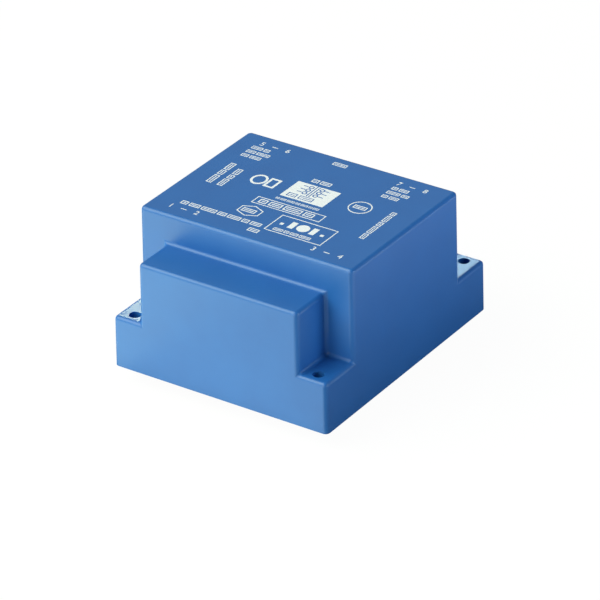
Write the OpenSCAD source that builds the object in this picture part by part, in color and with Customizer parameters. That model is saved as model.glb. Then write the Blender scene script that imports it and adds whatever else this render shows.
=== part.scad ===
// Flat transformer for circuit boards: a UI core with two coils, potted in a stepped casing.
// The origin lies in the middle of the casing's rim. The rim is in the plane z = 0, the primary
// side faces -Y, and the pins stand out below the rim.

/* [Casing] */
// Width of the casing across both coils, at the rim
case_w = 59.4; // [59.4:0.2:64]
// Depth of the casing along the legs of the core, at the rim
case_d = 68.4; // [68.4:0.2:72]
// Height of the housing over the coils
case_h = 36.7; // [36.7:0.1:40]
// Width of the lower end blocks over the yokes
end_w = 44.4; // [43:0.2:47]
// Height of the end blocks
end_h = 29.1; // [29.1:0.1:31]
// How far the end blocks stand out from the housing over the coils
end_step = 11.4; // [10.8:0.1:11.6]
// Height of the four screw lugs
lug_h = 13.1; // [10:0.1:18]
// Thickness of the moulded walls
wall = 1.2; // [1:0.05:1.25]
// Slope of the upright faces, in degrees, that lets the casing leave its mould
draft = 0.6; // [0.2:0.1:0.7]
// Radius of the upper edges
edge_r = 0.9; // [0.5:0.1:1]
// Radius of the upright corners at the rim
corner_r = 1.4; // [1.4:0.1:2.4]
// Radius of the inner corners between the blocks
cove_r = 0.6; // [0.4:0.1:0.8]

/* [Screw holes] */
// Distance of the screw holes across the width
hole_pitch_x = 51; // [50:0.2:52]
// Distance of the screw holes along the depth
hole_pitch_y = 62; // [61:0.2:62]
// Diameter of the screw holes
hole_d = 2.9; // [2.2:0.1:3.2]
// Radius of the post around each screw hole
boss_r = 2.9; // [2.5:0.1:3.2]

/* [Core] */
// Width of each leg and yoke, and of the window between the legs
limb = 13; // [12.4:0.1:13]
// Length of the window between the yokes
window_l = 39; // [38.8:0.1:39]
// Height of the stack of sheets
stack_h = 17; // [14:0.5:17]
// Height of the middle of the stack above the rim
core_z = 18.5; // [18.3:0.1:18.7]

/* [Bobbins] */
// Thickness of the tube around each leg
tube_t = 1; // [0.8:0.1:1.2]
// Gap between the tube and its leg
tube_gap = 0.15; // [0.1:0.05:0.3]
// Width of the flanges
flange_w = 25.6; // [24.8:0.1:25.8]
// Height of the flanges
flange_h = 31.8; // [30:0.2:32]
// Thickness of the flanges
flange_t = 1.2; // [1:0.1:1.4]
// How far the rails that hold the pins stand out from the flanges
rail_d = 9; // [8:0.5:10]
// Height of the rails
rail_h = 6.2; // [5:0.1:6.5]

/* [Windings] */
// Thickness of each winding around its tube
winding_t = 4.7; // [3:0.1:4.7]
// Thickness of the tape over each winding
tape_t = 0.25; // [0.15:0.05:0.3]
// Diameter of the lead ends
lead_d = 0.6; // [0.4:0.1:0.8]

/* [Pins] */
// Diameter of the pins
pin_d = 1; // [0.8:0.1:1.2]
// Length of the pins below the rim
pin_out = 4.2; // [3:0.1:6]
// Diameter of the part of each pin that is pressed into its rail
root_d = 1.2; // [1:0.1:1.4]
// Distance of the two pins on one rail
pin_pitch = 10; // [9:0.5:11]
// Distance of the two inner pins of a row
pin_middle = 15; // [14:0.5:16]
// Distance between the primary row and the secondary row
row_pitch = 50; // [48:0.5:51]

/* [Potting] */
// How far above the rim's plane the resin ends
resin_z = 0.8; // [0.4:0.1:1.2]

/* [Hidden] */
$fn = 48;
past = 1;                                      // how far a cutter runs past what it cuts
far = 2 * case_d;                              // longer than the whole casing
sides = [-1, 1];                               // left and right, or front and back
edge_steps = 8;                                // facets across a rounded upper edge
cove_steps = 5;                                // facets across a rounded inner corner
front = -1;                                    // side of the primary windings
back = 1;                                      // side of the secondary windings
left = -1;
right = 1;
body_d = case_d - 2 * end_step;                // depth of the housing over the coils
lug_x = (case_w - end_w) / 2;                  // width of a screw lug
bore_w = limb + 2 * tube_gap;                  // inside of the tube around a leg
bore_h = stack_h + 2 * tube_gap;
tube_w = bore_w + 2 * tube_t;                  // outside of the tube
tube_h = bore_h + 2 * tube_t;
tube_r = 1;                                    // radius of the tube's edges
bobbin_l = window_l - 2 * tube_gap;
chamber_l = (bobbin_l - 3 * flange_t) / 2;     // length of each of the two winding spaces
chamber_y = (chamber_l + flange_t) / 2;        // middle of a winding space
flange_r = 1.5;                                // radius of the flanges' corners
flange_z = core_z - flange_h / 2;              // lower edge of the flanges and rails
rail_w = pin_pitch + 8;
rail_x = (pin_middle + pin_pitch) / 2;         // middle of the two pins of a rail
groove_w = lead_d + 0.8;                       // groove under a rail that takes a lead end
groove_h = 2 * lead_d;
wrap_r = root_d / 2 + lead_d;                  // lead end wound around its pin
wrap_gap = 0.2;
lead_z = flange_z + groove_h / 2;
lead_y = bobbin_l / 2 - flange_t - 1.2;        // where a lead end leaves its winding
pin_top = flange_z + rail_h - 1;               // top of the pin in its blind hole
root_z = resin_z - 0.3;                        // shoulder between root and free end

// ---- casing -------------------------------------------------------------------------------

// Outline of the right edge of a block, from its foot up and over the rounded upper edge. The
// points of the rounding are spaced evenly from the leaning face to the flat top.
function leaning_edge(w, z0, z1, r) =
    let (lean = tan(draft), middle = w / 2 - lean * (z1 - r) - r / cos(draft))
    concat([[w / 2 - lean * z0, z0]],
        [for (i = [0:edge_steps]) let (a = draft + (90 - draft) * i / edge_steps)
            [middle + r * cos(a), z1 - r + r * sin(a)]]);

function flipped(points) = [for (i = [len(points) - 1:-1:0]) [-points[i][0], points[i][1]]];

module face_outline(w, z0, z1, r) {
    edge = leaning_edge(w, z0, z1, r);
    polygon(concat(edge, flipped(edge)));
}

// Moulded block: two crossing slabs with a rounded post at each corner. All follow one outline,
// so faces, upper edges and corners run into each other without a step.
module moulded_block(w, d, h) {
    rotate([90, 0, 0]) linear_extrude(d - 2 * corner_r, center = true) face_outline(w, 0, h, edge_r);
    rotate([90, 0, 90]) linear_extrude(w - 2 * corner_r, center = true) face_outline(d, 0, h, edge_r);
    for (sx = sides, sy = sides)
        translate([sx * (w / 2 - corner_r), sy * (d / 2 - corner_r), 0]) rotate_extrude()
            polygon(concat([[0, 0]], leaning_edge(2 * corner_r, 0, h, edge_r), [[0, h]]));
}

// Rounding of an inner corner along +X, between a floor at z = 0 and a wall at y = 0 that the
// solid lies behind. Its two ends dip into floor and wall.
module cove(l) {
    dip = 0.05 * cove_r;
    middle = cove_r - dip;
    rotate([90, 0, 90]) linear_extrude(l) polygon(concat([[wall / 2, -wall / 2], [wall / 2, middle]],
        [for (i = [0:cove_steps]) let (a = -90 * i / cove_steps)
            [cove_r * cos(a) - middle, middle + cove_r * sin(a)]],
        [[-middle, -wall / 2]]));
}

// The inner corners at the front, for a quarter of the casing with x > 0
module front_right_coves() {
    foot = tan(draft) * lug_h;
    top = tan(draft) * end_h;
    translate([0, top - body_d / 2, end_h]) cove(end_w / 2 - corner_r);
    translate([end_w / 2 - foot, foot - body_d / 2, lug_h]) {
        cove(lug_x - corner_r);
        mirror([0, 1, 0]) rotate([0, 0, 90]) cove(end_step - corner_r);
        rotate([-draft, -draft, 0]) mirror([1, 0, -1]) cove(end_h - lug_h - corner_r);
    }
}

// Room inside a block whose walls are wall thick
module hollow(w, d, z0, h)
    intersection() {
        rotate([90, 0, 0]) linear_extrude(far, center = true) hollow_outline(w, z0, h);
        rotate([90, 0, 90]) linear_extrude(far, center = true) hollow_outline(d, z0, h);
    }

module hollow_outline(w, z0, h) {
    half = [for (z = [z0, h - wall]) w / 2 - wall - tan(draft) * z];
    polygon([[-half[0], z0], [half[0], z0], [half[1], h - wall], [-half[1], h - wall]]);
}

// Draws its children at all four screw holes, turned so that +X and +Y lead to the corner
module at_holes()
    for (sx = sides, sy = sides)
        mirror([sx < 0 ? 1 : 0, 0, 0]) mirror([0, sy < 0 ? 1 : 0, 0])
            translate([hole_pitch_x / 2, hole_pitch_y / 2, 0]) children();

// Post around a screw hole, grown into the two walls of its corner
module boss_outline() {
    circle(boss_r);
    translate([0, -boss_r]) square([2 * boss_r, 3 * boss_r]);
    translate([-boss_r, 0]) square([3 * boss_r, 2 * boss_r]);
}

// Room between the walls, from the height z0 upwards
module cavity(z0)
    difference() {
        union() {
            hollow(case_w, case_d, z0, lug_h);
            hollow(end_w, case_d, z0, end_h);
            hollow(case_w, body_d, z0, case_h);
        }
        at_holes() translate([0, 0, z0 - past]) linear_extrude(lug_h - z0 + past) boss_outline();
    }

module casing()
    color("#3F6FB0") difference() {
        union() {
            moulded_block(case_w, case_d, lug_h);
            moulded_block(end_w, case_d, end_h);
            moulded_block(case_w, body_d, case_h);
            for (sx = sides, sy = sides)
                mirror([sx < 0 ? 1 : 0, 0, 0]) mirror([0, sy > 0 ? 1 : 0, 0]) front_right_coves();
        }
        cavity(-past);
        at_holes() translate([0, 0, -past]) cylinder(d = hole_d, h = lug_h + 2 * past);
    }

// ---- core ---------------------------------------------------------------------------------

// Stack of sheets with the outline that the children draw
module stack() translate([0, 0, core_z - stack_h / 2]) linear_extrude(stack_h) children();

module u_laminations()
    color("#80868C") stack() difference() {
        translate([-1.5 * limb, -window_l / 2]) square([3 * limb, window_l + limb]);
        translate([-limb / 2, -window_l / 2 - past]) square([limb, window_l + past]);
    }

module i_laminations()
    color("#8A9096") stack() translate([-1.5 * limb, -window_l / 2 - limb])
        square([3 * limb, limb]);

// ---- coils, drawn on the right leg --------------------------------------------------------

module on_leg(side) mirror([side < 0 ? 1 : 0, 0, 0]) children();

// Extrudes an outline around the leg, over the length l, with its middle at y
module around_leg(l, y) translate([limb, y, core_z]) rotate([90, 0, 0])
    linear_extrude(l, center = true) children();

module round_rect(w, h, r) {
    square([w - 2 * r, h], center = true);
    square([w, h - 2 * r], center = true);
    for (sx = sides, sy = sides) translate([sx * (w / 2 - r), sy * (h / 2 - r)]) circle(r);
}

// Outline of the tube with t more around it
module tube_outline(t = 0) round_rect(tube_w + 2 * t, tube_h + 2 * t, tube_r + t);

// Draws its children at the pin side of a rail, for both of its pins
module at_rail_pins(row)
    for (s = sides) translate([rail_x + s * pin_pitch / 2, row * row_pitch / 2, 0]) children();

module rail(row) {
    y = row * (bobbin_l + rail_d) / 2;
    difference() {
        translate([rail_x - rail_w / 2, y - rail_d / 2, flange_z]) cube([rail_w, rail_d, rail_h]);
        at_rail_pins(row) cylinder(d = root_d, h = pin_top);
    }
}

// Grooves below a rail and through the flange, with a round pocket at each pin
module lead_grooves(row)
    at_rail_pins(row) translate([0, 0, flange_z - past]) {
        reach = row_pitch / 2 - bobbin_l / 2 + flange_t + past;
        cylinder(r = wrap_r + wrap_gap, h = groove_h + past);
        translate([-groove_w / 2, row < 0 ? 0 : -reach, 0]) cube([groove_w, reach, groove_h + past]);
    }

module bobbin(side)
    color("#DCD8CC") on_leg(side) difference() {
        union() {
            around_leg(bobbin_l, 0) tube_outline();
            for (s = [-1, 0, 1]) around_leg(flange_t, s * (bobbin_l - flange_t) / 2)
                round_rect(flange_w, flange_h, flange_r);
            for (row = sides) rail(row);
        }
        around_leg(bobbin_l + 2 * past, 0) square([bore_w, bore_h], center = true);
        for (row = sides) lead_grooves(row);
    }

// A lead end: down from the winding, along its groove and once around its pin
module lead(row) {
    run = row_pitch / 2 - wrap_r - lead_y + lead_d / 2;
    translate([0, row * (lead_y - row_pitch / 2), lead_z]) {
        cylinder(d = lead_d, h = core_z - tube_h / 2 - winding_t / 2 - lead_z);
        sphere(d = lead_d);
        rotate([row < 0 ? 90 : -90, 0, 0]) cylinder(d = lead_d, h = run);
    }
    translate([0, 0, lead_z]) difference() {
        cylinder(r = wrap_r, h = 1.6 * lead_d, center = true);
        cylinder(d = root_d, h = 2 * lead_d, center = true);
    }
}

module winding(side, row)
    color(row < 0 ? "#B4532A" : "#C4692F") on_leg(side) {
        around_leg(chamber_l, row * chamber_y) difference() {
            tube_outline(winding_t);
            tube_outline();
        }
        at_rail_pins(row) lead(row);
    }

module tape(side, row)
    color("#E2B33C") on_leg(side) difference() {
        around_leg(chamber_l, row * chamber_y) difference() {
            tube_outline(winding_t + tape_t);
            tube_outline(winding_t);
        }
        at_rail_pins(row) translate([0, row * (lead_y - row_pitch / 2), 0])
            cylinder(d = lead_d + 2 * wrap_gap, h = core_z - tube_h / 2 - winding_t / 2);
    }

// ---- pins and resin -----------------------------------------------------------------------

// Place of pin n: 1 to 4 along the front from left to right, 5 to 8 back along the rear
function pin_at(n) =
    let (x = [-pin_pitch - pin_middle / 2, -pin_middle / 2, pin_middle / 2, pin_middle / 2 + pin_pitch])
    n <= 4 ? [x[n - 1], -row_pitch / 2] : [x[8 - n], row_pitch / 2];

module pin(n)
    color("#C9CCD0") translate([pin_at(n)[0], pin_at(n)[1], -pin_out]) {
        tip = pin_d / 4;
        cylinder(d1 = pin_d - 2 * tip, d2 = pin_d, h = tip);
        translate([0, 0, tip]) cylinder(d = pin_d, h = pin_out + root_z - tip);
        translate([0, 0, pin_out + root_z]) cylinder(d = root_d, h = pin_top - root_z);
    }

// Everything that the resin flows around
module potted_parts() {
    u_laminations();
    i_laminations();
    for (side = sides) {
        bobbin(side);
        on_leg(side) around_leg(bobbin_l, 0) square([bore_w + tube_t, bore_h + tube_t], center = true);
        for (row = sides) {
            on_leg(side) around_leg(chamber_l, row * chamber_y) tube_outline(winding_t + tape_t);
            winding(side, row);
        }
    }
    for (n = [1:8]) pin(n);
}

module potting_resin()
    color("#2B2E33") difference() {
        cavity(resin_z);
        potted_parts();
    }

// ---- nodes --------------------------------------------------------------------------------

casing();
potting_resin();
u_laminations();
i_laminations();
bobbin(left);  // bobbin_left
bobbin(right);  // bobbin_right
winding(left, front);  // primary_winding_left
winding(right, front);  // primary_winding_right
winding(left, back);  // secondary_winding_left
winding(right, back);  // secondary_winding_right
tape(left, front);  // primary_tape_left
tape(right, front);  // primary_tape_right
tape(left, back);  // secondary_tape_left
tape(right, back);  // secondary_tape_right
pin(1);  // pin_1
pin(2);  // pin_2
pin(3);  // pin_3
pin(4);  // pin_4
pin(5);  // pin_5
pin(6);  // pin_6
pin(7);  // pin_7
pin(8);  // pin_8
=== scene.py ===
"""Potted mains transformer with eight pins for a circuit board: the looks around its CAD model.

Lengths are in metres, written as millimetres times MM. +Z is up, the pins point down, and -Y is
the side of the primary pins.
"""

import math

import bmesh
import bpy
from mathutils import Matrix, Vector


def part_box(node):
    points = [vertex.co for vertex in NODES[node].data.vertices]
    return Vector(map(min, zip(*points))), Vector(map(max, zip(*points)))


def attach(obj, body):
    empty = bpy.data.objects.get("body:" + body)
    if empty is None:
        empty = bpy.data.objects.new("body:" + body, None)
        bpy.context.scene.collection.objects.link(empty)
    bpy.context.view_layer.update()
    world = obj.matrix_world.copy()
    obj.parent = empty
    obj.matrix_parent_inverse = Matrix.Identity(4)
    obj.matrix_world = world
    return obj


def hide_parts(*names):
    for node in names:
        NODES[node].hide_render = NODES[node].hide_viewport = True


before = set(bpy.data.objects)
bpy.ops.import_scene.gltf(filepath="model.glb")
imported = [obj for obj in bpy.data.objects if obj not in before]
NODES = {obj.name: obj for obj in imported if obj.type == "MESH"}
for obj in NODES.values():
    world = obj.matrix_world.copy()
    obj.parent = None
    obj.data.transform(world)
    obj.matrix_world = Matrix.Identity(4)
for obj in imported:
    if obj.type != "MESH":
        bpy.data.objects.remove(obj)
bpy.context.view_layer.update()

MM = 0.001
HALF_W, HALF_D, CASE_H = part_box("casing")[1]
RESIN_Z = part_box("potting_resin")[0].z         # where the resin ends above the rim
PIN_TIP_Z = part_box("pin_1")[0].z
PINS = [name for name in NODES if name.startswith("pin_")]

# Casing
END_HALF_W = 22.2 * MM                          # half the width of the blocks over the yokes
BODY_HALF_D = HALF_D - 11.4 * MM                # half the depth of the housing over the coils
LUG_H = 13.1 * MM
END_H = 29.1 * MM
WALL = 1.2 * MM
DRAFT = math.tan(math.radians(0.6))             # how far a wall leans in for its height
CORNER_R = 1.2 * MM                             # upright corners
EDGE_R = 1.0 * MM                               # upper edges
COVE_R = 0.9 * MM                               # inner corners between the blocks
BELOW_RIM = 1 * MM                              # how far the cavity's tool reaches below the rim
HOLE_X, HOLE_Y = 25.5 * MM, 31 * MM
HOLE_R = 1.45 * MM
POST_R = 2.9 * MM

# Resin's fillet at the wall: how far in each line lies from the last, and how far below RESIN_Z
FILLET = ((0.12 * MM, 0.28 * MM), (0.18 * MM, 0.12 * MM), (0.3 * MM, 0.02 * MM))
FILLET_START = 0.5 * MM                         # depth of its outermost line below RESIN_Z
FILLET_TOP = 0.1 * MM                           # thickness over RESIN_Z
TUCK = 0.05 * MM                                # how far it reaches into the wall

# Print
INK = 0.02 * MM                                 # how far the print stands out
STROKE = 0.24                                   # line width, in millimetres
BOX_WIDTHS = (1.5, 2.3, 1.2, 1.9, 2.7)          # of the boxes in a row, in turn, by its height


# ---- nodes, meshes and pieces -----------------------------------------------------------------

def linear(colour):
    """Linear RGBA of an sRGB hex colour."""
    values = [int(colour[i:i + 2], 16) / 255 for i in (1, 3, 5)]
    return [v / 12.92 if v <= 0.04045 else ((v + 0.055) / 1.055) ** 2.4 for v in values] + [1]


def add(tree, kind, inputs=None, **settings):
    """Adds a node. Each input gets a value, or the output socket that feeds it."""
    node = tree.nodes.new("ShaderNode" + kind)
    for name, value in settings.items():
        setattr(node, name, value)
    for name, value in (inputs or {}).items():
        if isinstance(value, bpy.types.NodeSocket):
            tree.links.new(value, node.inputs[name])
        else:
            node.inputs[name].default_value = value
    return node


def new_material(name):
    """An empty material's tree, and its Object coordinates."""
    material = bpy.data.materials.new(name)
    material.use_nodes = True
    tree = material.node_tree
    tree.nodes.clear()
    return material, tree, add(tree, "TexCoord").outputs["Object"]


def show(tree, shader):
    add(tree, "OutputMaterial", {"Surface": shader.outputs[0]})


def new_piece(name, mesh):
    """Object at the origin around a bmesh or a mesh."""
    if isinstance(mesh, bmesh.types.BMesh):
        made = bpy.data.meshes.new(name)
        mesh.to_mesh(made)
        mesh.free()
        mesh = made
    piece = bpy.data.objects.new(name, mesh)
    bpy.context.scene.collection.objects.link(piece)
    return piece


def settle(piece):
    """Makes the piece's mesh what its modifiers give, and drops them."""
    evaluated = piece.evaluated_get(bpy.context.evaluated_depsgraph_get())
    mesh = bpy.data.meshes.new_from_object(evaluated)
    piece.modifiers.clear()
    piece.data = mesh


def combine(piece, tool, operation):
    """Cuts the tool out of the piece, or joins it on, and removes the tool."""
    boolean = piece.modifiers.new(operation, "BOOLEAN")
    boolean.solver = "EXACT"
    boolean.operation = operation
    boolean.object = tool
    settle(piece)
    bpy.data.objects.remove(tool)


def smooth(piece, angle=35):
    """Shades the piece smooth up to an angle in degrees, with the flats kept flat."""
    bm = bmesh.new()
    bm.from_mesh(piece.data)
    bmesh.ops.remove_doubles(bm, verts=bm.verts[:], dist=0.005 * MM)
    for face in bm.faces:
        face.smooth = True
    for edge in bm.edges:
        edge.smooth = edge.calc_face_angle(math.pi) < math.radians(angle)
    bm.to_mesh(piece.data)
    bm.free()
    weighted = piece.modifiers.new("flats", "WEIGHTED_NORMAL")
    weighted.keep_sharp = True
    weighted.weight = 100
    settle(piece)


def finish(piece, material, slot, *replaced):
    piece.data.materials.clear()
    piece.data.materials.append(material)
    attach(piece, "root")
    if replaced:
        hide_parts(*replaced)


# ---- materials --------------------------------------------------------------------------------

def moulded_polyester():
    """Injection-moulded PBT in a blue tint. The mould was spark-eroded very finely, so the skin has
    a soft sheen with a faint grain, and the large flats waver a little where they cooled."""
    material, tree, place = new_material("blue_moulded_pbt")
    clouds = add(tree, "TexNoise", {"Vector": place, "Scale": 1 / (9 * MM), "Detail": 3})
    tint = add(tree, "ValToRGB", {"Fac": clouds.outputs["Fac"]})
    tint.color_ramp.elements[0].position = 0.3
    tint.color_ramp.elements[0].color = linear("#2160AE")
    tint.color_ramp.elements[1].position = 0.7
    tint.color_ramp.elements[1].color = linear("#2364B3")
    sheen = add(tree, "MapRange", {"Value": clouds.outputs["Fac"], "To Min": 0.36, "To Max": 0.4})
    grain = add(tree, "TexNoise", {"Vector": place, "Scale": 1 / (0.18 * MM), "Detail": 2})
    rough = add(tree, "Bump", {"Height": grain.outputs["Fac"], "Strength": 0.12,
                               "Distance": 0.01 * MM})
    sink = add(tree, "TexNoise", {"Vector": place, "Scale": 1 / (14 * MM), "Detail": 0})
    waver = add(tree, "Bump", {"Height": sink.outputs["Fac"], "Strength": 0.5,
                               "Distance": 0.02 * MM, "Normal": rough.outputs["Normal"]})
    show(tree, add(tree, "BsdfPrincipled", {
        "Base Color": tint.outputs["Color"], "Roughness": sheen.outputs["Result"],
        "Normal": waver.outputs["Normal"], "IOR": 1.6, "Specular IOR Level": 0.4}))
    return material


def pad_print_ink():
    """White pad-printing ink: a thin matt film, a little thin in places so the blue comes through."""
    material, tree, place = new_material("white_pad_print_ink")
    specks = add(tree, "TexNoise", {"Vector": place, "Scale": 1 / (0.35 * MM), "Detail": 2})
    cover = add(tree, "ValToRGB", {"Fac": specks.outputs["Fac"]})
    cover.color_ramp.elements[0].position = 0.3
    cover.color_ramp.elements[0].color = linear("#E6EBF8")
    cover.color_ramp.elements[1].position = 0.5
    cover.color_ramp.elements[1].color = linear("#F6F3FF")
    film = add(tree, "Bump", {"Height": specks.outputs["Fac"], "Strength": 0.2,
                              "Distance": 0.01 * MM})
    show(tree, add(tree, "BsdfPrincipled", {
        "Base Color": cover.outputs["Color"], "Roughness": 0.5, "Normal": film.outputs["Normal"]}))
    return material


def casting_resin():
    """Filled polyurethane casting resin, poured and set: near black, glossy, with slow waves where
    it skinned over and a few pinholes left by air."""
    material, tree, place = new_material("black_casting_resin")
    waves = add(tree, "TexNoise", {"Vector": place, "Scale": 1 / (7 * MM), "Detail": 1})
    tint = add(tree, "ValToRGB", {"Fac": waves.outputs["Fac"]})
    tint.color_ramp.elements[0].color = linear("#16181B")
    tint.color_ramp.elements[1].color = linear("#24272B")
    pinholes = add(tree, "TexVoronoi", {"Vector": place, "Scale": 1 / (3.5 * MM)})
    pit = add(tree, "MapRange", {"Value": pinholes.outputs["Distance"], "From Max": 0.07})
    skin = add(tree, "Bump", {"Height": waves.outputs["Fac"], "Strength": 0.6,
                              "Distance": 0.15 * MM})
    pitted = add(tree, "Bump", {"Height": pit.outputs["Result"], "Strength": 0.6,
                                "Distance": 0.05 * MM, "Normal": skin.outputs["Normal"]})
    show(tree, add(tree, "BsdfPrincipled", {
        "Base Color": tint.outputs["Color"], "Roughness": 0.22, "IOR": 1.52,
        "Normal": pitted.outputs["Normal"]}))
    return material


def dipped_tin():
    """Hot-tinned brass wire: bright grey metal with the soft ripples of the dip and duller patches."""
    material, tree, place = new_material("tinned_pin_wire")
    dip = add(tree, "TexNoise", {"Vector": place, "Scale": 1 / (0.6 * MM), "Detail": 3})
    tint = add(tree, "ValToRGB", {"Fac": dip.outputs["Fac"]})
    tint.color_ramp.elements[0].color = linear("#B9BCC0")
    tint.color_ramp.elements[1].color = linear("#DADCDF")
    dull = add(tree, "MapRange", {"Value": dip.outputs["Fac"], "To Min": 0.2, "To Max": 0.42})
    ripple = add(tree, "Bump", {"Height": dip.outputs["Fac"], "Strength": 0.4,
                                "Distance": 0.03 * MM})
    show(tree, add(tree, "BsdfPrincipled", {
        "Base Color": tint.outputs["Color"], "Metallic": 1, "Roughness": dull.outputs["Result"],
        "Normal": ripple.outputs["Normal"]}))
    return material


def stacked_steel():
    """Punched silicon-steel sheets, half a millimetre each: dull grey with a bluish anneal and a
    dark line at every joint of the stack."""
    material, tree, place = new_material("stacked_transformer_steel")
    sheets = add(tree, "TexWave", {"Vector": place, "Scale": 1 / (20 * 0.5 * MM) * math.pi / 5,
                                   "Distortion": 0.15}, bands_direction="Z")
    anneal = add(tree, "TexNoise", {"Vector": place, "Scale": 1 / (12 * MM), "Detail": 2})
    tint = add(tree, "ValToRGB", {"Fac": anneal.outputs["Fac"]})
    tint.color_ramp.elements[0].color = linear("#6B737C")
    tint.color_ramp.elements[1].color = linear("#8C9196")
    joint = add(tree, "MapRange", {"Value": sheets.outputs["Fac"], "From Max": 0.25,
                                   "To Min": 0.35})
    lines = add(tree, "MixRGB", {"Fac": 1, "Color1": tint.outputs["Color"],
                                 "Color2": joint.outputs["Result"]}, blend_type="MULTIPLY")
    step = add(tree, "Bump", {"Height": sheets.outputs["Fac"], "Strength": 0.4,
                              "Distance": 0.05 * MM})
    show(tree, add(tree, "BsdfPrincipled", {
        "Base Color": lines.outputs["Color"], "Metallic": 0.85, "Roughness": 0.42,
        "Normal": step.outputs["Normal"]}))
    return material


def filled_nylon():
    """Glass-filled nylon, moulded: creamy and satin, with fine fibre marks."""
    material, tree, place = new_material("glass_filled_nylon")
    fibres = add(tree, "TexNoise", {"Vector": place, "Scale": 1 / (0.5 * MM), "Detail": 4})
    tint = add(tree, "ValToRGB", {"Fac": fibres.outputs["Fac"]})
    tint.color_ramp.elements[0].color = linear("#D8D2C0")
    tint.color_ramp.elements[1].color = linear("#E7E2D3")
    skin = add(tree, "Bump", {"Height": fibres.outputs["Fac"], "Strength": 0.2,
                              "Distance": 0.02 * MM})
    show(tree, add(tree, "BsdfPrincipled", {
        "Base Color": tint.outputs["Color"], "Roughness": 0.48, "IOR": 1.53,
        "Normal": skin.outputs["Normal"]}))
    return material


def enamelled_wire(name, wire):
    """Copper wire in clear red-brown enamel, wound in layers: glossy ridges side by side, one to
    each turn. The colour is painted shade, dark in the grooves between turns, and a painted
    highlight, light on the crests."""
    material, tree, place = new_material(name)
    turns = add(tree, "TexWave", {"Vector": place, "Scale": 1 / (20 * wire) * math.pi / 5,
                                  "Distortion": 0.3}, bands_direction="Y")
    # Painted shade and highlight: dark in the grooves between turns, light on the crests, in step with
    # the bump
    tint = add(tree, "ValToRGB", {"Fac": turns.outputs["Fac"]})
    tint.color_ramp.elements[0].color = linear("#5A1F0C")
    tint.color_ramp.elements[1].color = linear("#C0562B")
    ridge = add(tree, "Bump", {"Height": turns.outputs["Fac"], "Strength": 0.8,
                               "Distance": wire / 3})
    show(tree, add(tree, "BsdfPrincipled", {
        "Base Color": tint.outputs["Color"], "Metallic": 0.7, "Roughness": 0.3,
        "Coat Weight": 0.6, "Coat Roughness": 0.12, "Normal": ridge.outputs["Normal"]}))
    return material


def polyester_tape():
    """Yellow polyester film tape: smooth and slightly clear, with soft creases along the wrap."""
    material, tree, place = new_material("yellow_polyester_tape")
    creases = add(tree, "TexNoise", {"Vector": place, "Scale": 1 / (5 * MM), "Detail": 3})
    tint = add(tree, "ValToRGB", {"Fac": creases.outputs["Fac"]})
    tint.color_ramp.elements[0].color = linear("#D69A1E")
    tint.color_ramp.elements[1].color = linear("#E9B640")
    film = add(tree, "Bump", {"Height": creases.outputs["Fac"], "Strength": 0.3,
                              "Distance": 0.1 * MM})
    show(tree, add(tree, "BsdfPrincipled", {
        "Base Color": tint.outputs["Color"], "Roughness": 0.25, "IOR": 1.6,
        "Normal": film.outputs["Normal"]}))
    return material


def floor_paper():
    """Matt white paper sweep. Seen straight it is evenly lit up to white with a trace of the
    object's shade, as a studio lights it from its far side. It lights the object as plain paper."""
    material, tree, place = new_material("white_paper_sweep")
    fibres = add(tree, "TexNoise", {"Vector": place, "Scale": 1 / (2 * MM), "Detail": 3})
    tint = add(tree, "ValToRGB", {"Fac": fibres.outputs["Fac"]})
    tint.color_ramp.elements[0].color = linear("#8C8C8C")
    tint.color_ramp.elements[1].color = linear("#909090")
    paper = add(tree, "BsdfPrincipled", {"Base Color": tint.outputs["Color"], "Roughness": 0.9})
    trace = add(tree, "BsdfDiffuse", {"Color": linear("#3A3A3A")})
    glow = add(tree, "Emission", {"Color": linear("#FFFFFF"), "Strength": 0.965})
    seen = add(tree, "AddShader", {0: trace.outputs[0], 1: glow.outputs[0]})
    ray = add(tree, "LightPath")
    show(tree, add(tree, "MixShader", {0: ray.outputs["Is Camera Ray"], 1: paper.outputs[0],
                                       2: seen.outputs[0]}))
    return material


# ---- casing -----------------------------------------------------------------------------------

def reaches(face, height):
    """Whether the block over this field of the board is that high."""
    middle = face.calc_center_median()
    over_body = abs(middle.y) < BODY_HALF_D
    over_ends = abs(middle.x) < END_HALF_W
    if height == CASE_H:
        return over_body
    return height == LUG_H or over_body or over_ends


def stepped_block(wall, foot):
    """Foot, end blocks and housing as one closed block, that far inside the casing's outer faces.
    It starts as a board of three by three fields, whose middle fields are raised in steps."""
    bm = bmesh.new()
    bmesh.ops.create_grid(bm, x_segments=3, y_segments=3, size=1.5)
    for v in bm.verts:
        v.co.x = math.copysign((HALF_W if abs(v.co.x) > 1 else END_HALF_W) - wall, v.co.x)
        v.co.y = math.copysign((HALF_D if abs(v.co.y) > 1 else BODY_HALF_D) - wall, v.co.y)
        v.co.z = foot
    faces = bm.faces[:]
    for height in (LUG_H, END_H, CASE_H):
        faces = [face for face in faces if reaches(face, height)]
        made = bmesh.ops.extrude_face_region(bm, geom=faces)["geom"]
        if height > LUG_H:
            bmesh.ops.delete(bm, geom=faces, context="FACES")
        for v in (g for g in made if isinstance(g, bmesh.types.BMVert)):
            v.co.z = height - wall
        faces = [g for g in made if isinstance(g, bmesh.types.BMFace)]
    for v in bm.verts:
        v.co.x -= math.copysign(DRAFT * v.co.z, v.co.x)
        v.co.y -= math.copysign(DRAFT * v.co.z, v.co.y)
    bmesh.ops.recalc_face_normals(bm, faces=bm.faces[:])
    bmesh.ops.dissolve_limit(bm, angle_limit=math.radians(0.1), verts=bm.verts[:],
                             edges=bm.edges[:])
    return bm


def edge_radius(edge):
    """Radius that the mould gives an edge of the block."""
    a, b = (v.co for v in edge.verts)
    if max(a.z, b.z) < EDGE_R:
        return 0
    if not edge.is_convex:
        return COVE_R
    return EDGE_R if abs(a.z - b.z) < EDGE_R else CORNER_R


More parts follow.
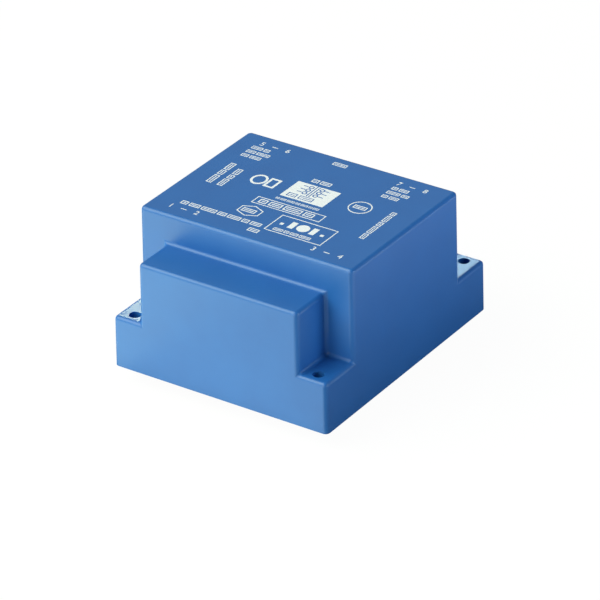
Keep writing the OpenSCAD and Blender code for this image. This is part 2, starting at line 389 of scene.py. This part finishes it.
def at_holes():
    """Places of the four screw holes, each with the signs of its corner."""
    return [(sx * HOLE_X, sy * HOLE_Y, sx, sy) for sx in (-1, 1) for sy in (-1, 1)]


def upright_rods(radius):
    """Four rods through the screw holes, longer than the foot is high."""
    bm = bmesh.new()
    for x, y, _, _ in at_holes():
        bmesh.ops.create_cone(bm, cap_ends=True, segments=64, radius1=radius, radius2=radius,
                              depth=2 * LUG_H + 4 * MM, matrix=Matrix.Translation((x, y, 0)))
    return bm


def corner_webs(wide, deep):
    """Blocks from the screw holes outwards, which join the posts to the walls of their corners."""
    bm = bmesh.new()
    for x, y, sx, sy in at_holes():
        middle = (x + sx * (POST_R - wide / 2), y + sy * (POST_R - deep / 2), 0)
        bmesh.ops.create_cube(bm, size=1, matrix=Matrix.Translation(middle)
                              @ Matrix.Diagonal((wide, deep, 2 * LUG_H + 4 * MM, 1)))
    return bm


def casing():
    block = stepped_block(0, 0)
    weights = block.edges.layers.float.new("bevel_weight_edge")
    for edge in block.edges:
        edge[weights] = edge_radius(edge) / CORNER_R
    piece = new_piece("moulded_casing", block)
    rounding = piece.modifiers.new("rounding", "BEVEL")
    rounding.limit_method = "WEIGHT"
    rounding.offset_type = "OFFSET"
    rounding.width = CORNER_R
    rounding.segments = 6
    rounding.profile = 0.5
    rounding.use_clamp_overlap = False
    settle(piece)

    cavity = new_piece("cavity", stepped_block(WALL, -BELOW_RIM))
    for post in (upright_rods(POST_R), corner_webs(2 * POST_R, POST_R),
                 corner_webs(POST_R, 2 * POST_R)):
        combine(cavity, new_piece("post", post), "DIFFERENCE")
    combine(piece, cavity, "DIFFERENCE")
    combine(piece, new_piece("screw_holes", upright_rods(HOLE_R)), "DIFFERENCE")
    smooth(piece)
    return piece


moulded_casing = casing()
finish(moulded_casing, moulded_polyester(), "casing", "casing")


# ---- resin at the rim -------------------------------------------------------------------------

def resin_meniscus():
    """Resin drawn up the walls of the casing at the rim, as a thin hollow-curved fillet."""
    bm = bmesh.new()
    bmesh.ops.create_grid(bm, x_segments=1, y_segments=1, size=1, matrix=Matrix.Diagonal(
        (HALF_W - WALL + TUCK, HALF_D - WALL + TUCK, 1, 1)))
    inner = bm.faces[:]
    for v in bm.verts:
        v.co.z = RESIN_Z - FILLET_START
    for inset, depth in FILLET:
        bmesh.ops.inset_region(bm, faces=inner, thickness=inset, use_even_offset=True,
                               use_boundary=True)
        for v in inner[0].verts:
            v.co.z = RESIN_Z - depth
    bmesh.ops.delete(bm, geom=inner, context="FACES_ONLY")
    made = bmesh.ops.extrude_face_region(bm, geom=bm.faces[:])["geom"]
    for v in (g for g in made if isinstance(g, bmesh.types.BMVert)):
        v.co.z = RESIN_Z + FILLET_TOP
    bmesh.ops.recalc_face_normals(bm, faces=bm.faces[:])
    piece = new_piece("resin_meniscus", bm)
    smooth(piece, 50)
    return piece


resin = casting_resin()
finish(resin_meniscus(), resin, "resin")


# ---- pins -------------------------------------------------------------------------------------

def pin(name):
    """Round wire pin: a thicker root with a small shoulder, and a domed free end."""
    low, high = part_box(name)
    centre = (low + high) / 2
    root_r = (high.x - low.x) / 2
    wire_r = root_r - 0.1 * MM
    shoulder_z = RESIN_Z - 0.3 * MM
    dome = 0.25 * MM
    bm = bmesh.new()
    outline = [(0, low.z)]
    for step in range(1, 7):
        turn = math.radians(15 * step)
        outline.append((wire_r * (0.35 + 0.65 * math.sin(turn)), low.z + dome * (1 - math.cos(turn))))
    outline += [(wire_r, shoulder_z - 0.04 * MM), (wire_r + 0.03 * MM, shoulder_z),
                (root_r - 0.03 * MM, shoulder_z), (root_r, shoulder_z + 0.04 * MM),
                (root_r, high.z), (0, high.z)]
    verts = [bm.verts.new((x, 0, z)) for x, z in outline]
    for a, b in zip(verts, verts[1:]):
        bm.edges.new((a, b))
    bmesh.ops.spin(bm, geom=bm.verts[:] + bm.edges[:], cent=(0, 0, 0), axis=(0, 0, 1),
                   angle=2 * math.pi, steps=32, use_merge=True)
    bmesh.ops.remove_doubles(bm, verts=bm.verts[:], dist=0.001 * MM)
    bmesh.ops.recalc_face_normals(bm, faces=bm.faces[:])
    bmesh.ops.translate(bm, verts=bm.verts[:], vec=(centre.x, centre.y, 0))
    piece = new_piece("tinned_" + name, bm)
    smooth(piece, 40)
    return piece


tin = dipped_tin()
for pin_name in PINS:
    finish(pin(pin_name), tin, "tinned_pins", pin_name)


# ---- print ------------------------------------------------------------------------------------
# Drawn flat around the middle of the top and raised at the end. Places and sizes are in
# millimetres: across to the right, and up towards the secondary pins.

def bar(bm, across, up, wide, high, turn=0):
    made = bmesh.ops.create_grid(
        bm, x_segments=1, y_segments=1, size=0.5,
        matrix=Matrix.Rotation(math.radians(turn), 4, "Z") @ Matrix.Translation((across, up, 0))
        @ Matrix.Diagonal((wide, high, 1, 1)))
    return made["verts"][0].link_faces[0]


def disc(bm, across, up, radius, sides=32, squash=1):
    made = bmesh.ops.create_circle(
        bm, cap_ends=True, segments=sides, radius=radius,
        matrix=Matrix.Translation((across, up, 0)) @ Matrix.Diagonal((1, squash, 1, 1)))
    return made["verts"][0].link_faces[0]


def outline(bm, face, line):
    """Leaves only a line along the border of a bar or disc."""
    bmesh.ops.inset_region(bm, faces=[face], thickness=line, use_even_offset=True,
                           use_boundary=True)
    bmesh.ops.delete(bm, geom=[face], context="FACES_ONLY")


def marks(bm, start, end, up, high, turn=0):
    """Row of small open boxes, each with a short line in it, in the place of a printed line."""
    line = 0.17 * high
    across = start
    count = int(abs(start * 3 + up))                # each row begins elsewhere among the widths
    wide = high * BOX_WIDTHS[count % len(BOX_WIDTHS)]
    while across + wide <= end:
        middle = across + wide / 2
        outline(bm, bar(bm, middle, up, wide, high, turn), line)
        bar(bm, middle, up, wide - 4 * line, line, turn)
        across += wide + 0.35 * high
        count += 1
        wide = high * BOX_WIDTHS[count % len(BOX_WIDTHS)]


def digit(bm, text, across, up, high):
    """One plain figure."""
    curve = bpy.data.curves.new("figure", "FONT")
    curve.body = text
    curve.size = high / 0.7
    curve.align_x = "CENTER"
    curve.align_y = "CENTER"
    writing = new_piece("figure", curve)
    mesh = bpy.data.meshes.new_from_object(
        writing.evaluated_get(bpy.context.evaluated_depsgraph_get()))
    mesh.transform(Matrix.Translation((across, up, 0)))
    bm.from_mesh(mesh)
    bpy.data.objects.remove(writing)


def raised(name, bm, low, high):
    """Piece with the flat drawing raised from one height over the top of the housing to another."""
    bmesh.ops.remove_doubles(bm, verts=bm.verts[:], dist=0.001)
    made = bmesh.ops.extrude_face_region(bm, geom=bm.faces[:])["geom"]
    for v in bm.verts:
        v.co = (v.co.x * MM, v.co.y * MM, CASE_H + low)
    for v in (g for g in made if isinstance(g, bmesh.types.BMVert)):
        v.co.z = CASE_H + high
    bmesh.ops.recalc_face_normals(bm, faces=bm.faces[:])
    return new_piece(name, bm)


def transformer_sign(bm, across, up):
    """The circuit diagram of a transformer: two coils with their leads on both sides of a core."""
    turn_r, line, reach = 0.72, 0.34, 3.6
    for side in (-1, 1):
        bar(bm, across + side * 0.35, up, 0.3, 5.4)
        for turn in (-1, 0, 1):
            outline(bm, disc(bm, across + side * 1.5, up + turn * 2.1 * turn_r, turn_r), line)
            bar(bm, across + side * (reach + 2.35) / 2, up + turn * 2.1 * turn_r, reach - 2.35, line)


def field_with_sign():
    """White field with the diagram and a row of strokes left open."""
    field = bmesh.new()
    bar(field, 1, 3.2, 11.8, 8)
    sign = bmesh.new()
    transformer_sign(sign, 1, 4.5)
    marks(sign, -3.7, 5.7, 0.7, 1.7)
    piece = raised("print_field", field, -INK, INK)
    combine(piece, raised("sign", sign, -3 * INK, 3 * INK), "DIFFERENCE")
    return piece


def top_print():
    bm = bmesh.new()
    # Figures of the pins, in their corners
    for left, right, across, up in (("1", "2", -19.7, -18.3), ("3", "4", 19.7, -18.3),
                                    ("5", "6", -19, 18.2), ("7", "8", 19.4, 18.2)):
        digit(bm, left, across - 3.6, up, 1.7)
        bar(bm, across, up, 1.6, STROKE)
        digit(bm, right, across + 3.6, up, 1.7)
    # Rows along the front and the back
    marks(bm, -22.3, 0.2, -15.5, 1.5)
    marks(bm, -1.8, 2.7, -18.2, 1.5)
    marks(bm, -3, 2, 18.9, 1.4)
    marks(bm, -2.4, 3.4, 9.2, 1.5)
    for up in (15.8, 13.6, 11.4):
        marks(bm, -24, -17, up, 1.3)
        marks(bm, 15.4, 23, up, 1.3)
    # Rows that run from front to back; their own across is the top's depth
    marks(bm, -4.3, 7.9, 22.7, 1.5, turn=90)
    marks(bm, -4.3, 7.4, 19.6, 1.5, turn=90)
    marks(bm, -8.5, 7.5, -22.6, 1.3, turn=90)
    # Ring and square left of the field, ring right of it
    outline(bm, disc(bm, -13.2, 3, 2.1, squash=1.15), 0.6)
    outline(bm, bar(bm, -9.5, 3, 2.9, 4.4), 0.6)
    outline(bm, disc(bm, 14.4, 3.7, 2.9), 0.28)
    marks(bm, 12.7, 16.2, 3.7, 1.5)
    # Two frames below the field
    marks(bm, -4.9, 7, -2.3, 0.8)
    outline(bm, bar(bm, 0.8, -5.55, 18.8, 3.3), STROKE)
    marks(bm, -7.3, 9.1, -5.55, 1.8)
    outline(bm, bar(bm, 8.9, -12.45, 15.4, 7.9), STROKE)
    disc(bm, 8.9, -11.6, 1.6)
    bar(bm, 6, -11.6, 1.4, 3)
    bar(bm, 11.8, -11.6, 1.4, 3)
    bar(bm, 3.4, -12.2, 0.9, 0.9)
    bar(bm, 14.4, -12.2, 0.9, 0.9)
    marks(bm, 3, 14.6, -15, 1.1)
    # Hexagon left of the lower frame
    outline(bm, disc(bm, -6.3, -10.9, 3.4, sides=6, squash=0.75), 0.25)
    marks(bm, -8.4, -4.3, -10.9, 1.6)
    return raised("top_print", bm, -INK, INK)


ink = pad_print_ink()
finish(top_print(), ink, "print")
finish(field_with_sign(), ink, "print")


# ---- CAD solids that keep their shape ---------------------------------------------------------

INNER = {
    "potting_resin": resin,
    "laminations": stacked_steel(),
    "bobbin": filled_nylon(),
    "primary_winding": enamelled_wire("enamelled_copper_fine", 0.3 * MM),
    "secondary_winding": enamelled_wire("enamelled_copper_thick", 0.7 * MM),
    "tape": polyester_tape(),
}
for node_name, solid in NODES.items():
    for kind, material in INNER.items():
        if kind in node_name:
            solid.data.materials.clear()
            solid.data.materials.append(material)


# ---- floor, light and camera ------------------------------------------------------------------

def new_light(name, kind, place, aim, watts, colour):
    """Light that the camera doesn't see itself, turned towards a point."""
    light = bpy.data.lights.new(name, kind)
    light.energy = watts
    light.color = linear(colour)[:3]
    lamp = bpy.data.objects.new(name, light)
    lamp.location = place
    lamp.rotation_euler = (Vector(aim) - Vector(place)).to_track_quat("-Z", "Y").to_euler()
    lamp.visible_camera = False
    bpy.context.scene.collection.objects.link(lamp)
    return light


def area_light(name, place, aim, width, height, watts, colour="#FFFFFF"):
    light = new_light(name, "AREA", place, aim, watts, colour)
    light.shape = "RECTANGLE"
    light.size, light.size_y = width, height


def floor_card(name, x, y, width, height, watts, colour):
    area_light(name, (x, y, CARD_Z), (x, y, 1), width, height, watts, colour)


def lug_spot(name, lug, watts, colour):
    """Narrow spot from behind, in whose gleam the camera sees the top of a lug."""
    aim = Vector(lug)
    place = aim + LUG_SPOT_AWAY * TO_GLEAM
    light = new_light(name, "SPOT", place, aim, watts, colour)
    light.spot_size = 2 * math.atan(LUG_BEAM_R / LUG_SPOT_AWAY)
    light.spot_blend = 0.5
    light.shadow_soft_size = 0.001


floor_mesh = bmesh.new()
bmesh.ops.create_circle(floor_mesh, cap_ends=True, segments=64, radius=3)
bmesh.ops.translate(floor_mesh, verts=floor_mesh.verts[:], vec=(0, 0, PIN_TIP_Z))
floor = new_piece("floor", floor_mesh)
floor.data.materials.append(floor_paper())

world = bpy.data.worlds.new("studio")
bpy.context.scene.world = world
world.use_nodes = True
world.node_tree.nodes.clear()
room = add(world.node_tree, "Background", {"Color": linear("#FFFFFF"), "Strength": 0.15})
white = add(world.node_tree, "Background", {"Color": linear("#FFFFFF"), "Strength": 1})
sight = add(world.node_tree, "LightPath")
seen = add(world.node_tree, "MixShader", {0: sight.outputs["Is Camera Ray"], 1: room.outputs[0],
                                          2: white.outputs[0]})
add(world.node_tree, "OutputWorld", {"Surface": seen.outputs[0]})

MIDDLE = (0, 0, CASE_H / 2)
TO_GLEAM = Vector((-0.46, 0.76, 0.46)).normalized()     # where level faces mirror the camera's look
LUG_SPOT_AWAY = 0.4                             # metres from a spot to its lug
LUG_BEAM_R = 7 * MM                             # radius of a spot's beam at its lug
CARD_Z = -0.003                                 # height of the cards, just over the floor
area_light("left_light", (-0.53, -0.53, 0.75), MIDDLE, 1.1, 0.9, 16.3, "#F0FDE7")
area_light("front_light", (0, -0.9, 0.15), MIDDLE, 0.5, 0.3, 2.3, "#FCF8E5")
area_light("back_left_light", (-0.45, 0.7, 0.46), MIDDLE, 0.7, 0.5, 0.52, "#E6F6FF")
area_light("right_end_light", (0.24, 0.06, 0.08), (26 * MM, 34 * MM, 12 * MM), 0.1, 0.1, 0.2,
           "#DEFFFF")
# Cards that lie by the object, face up, for the light that a bright table throws back
floor_card("right_far_card", 0.24, 0.1, 0.3, 0.4, 0.66, "#E0F4FC")
floor_card("front_card_left", -0.17, -0.187, 0.28, 0.30, 0.63, "#F4FFD1")
floor_card("front_card_right", 0.0, -0.187, 0.06, 0.30, 0.085, "#FAFDD5")
lug_spot("left_lug_spot", (-HOLE_X, -HOLE_Y, LUG_H), 2.8, "#F5FFC8")
lug_spot("right_lug_spot", (HOLE_X, HOLE_Y, LUG_H), 1.4, "#C4EEFF")

# Where the camera stands, seen from the middle of the casing's height
AZIMUTH, ELEVATION, ROLL = math.radians(34.41), math.radians(29.06), math.radians(1.23)
DISTANCE = 928.6 * MM
AIM = Vector((-0.12, -0.08, 18.6)) * MM
DIP = math.radians(0.474)                       # the camera looks a little below that point
back = Vector((math.sin(AZIMUTH) * math.cos(ELEVATION), -math.cos(AZIMUTH) * math.cos(ELEVATION),
               math.sin(ELEVATION)))
stand = AIM + DISTANCE * back
right = Vector((math.cos(AZIMUTH), math.sin(AZIMUTH), 0))
stance = Matrix((right, back.cross(right), back)).transposed()
stance = stance @ Matrix.Rotation(-ROLL, 3, "Z") @ Matrix.Rotation(-DIP, 3, "X")
lens = bpy.data.cameras.new("camera")
lens.lens = 238.8
lens.sensor_width = 36
lens.clip_start, lens.clip_end = 0.01, 20
camera = bpy.data.objects.new("camera", lens)
camera.matrix_world = Matrix.Translation(stand) @ stance.to_4x4()
bpy.context.scene.collection.objects.link(camera)
bpy.context.scene.camera = camera
bpy.context.scene.view_settings.view_transform = "Standard"
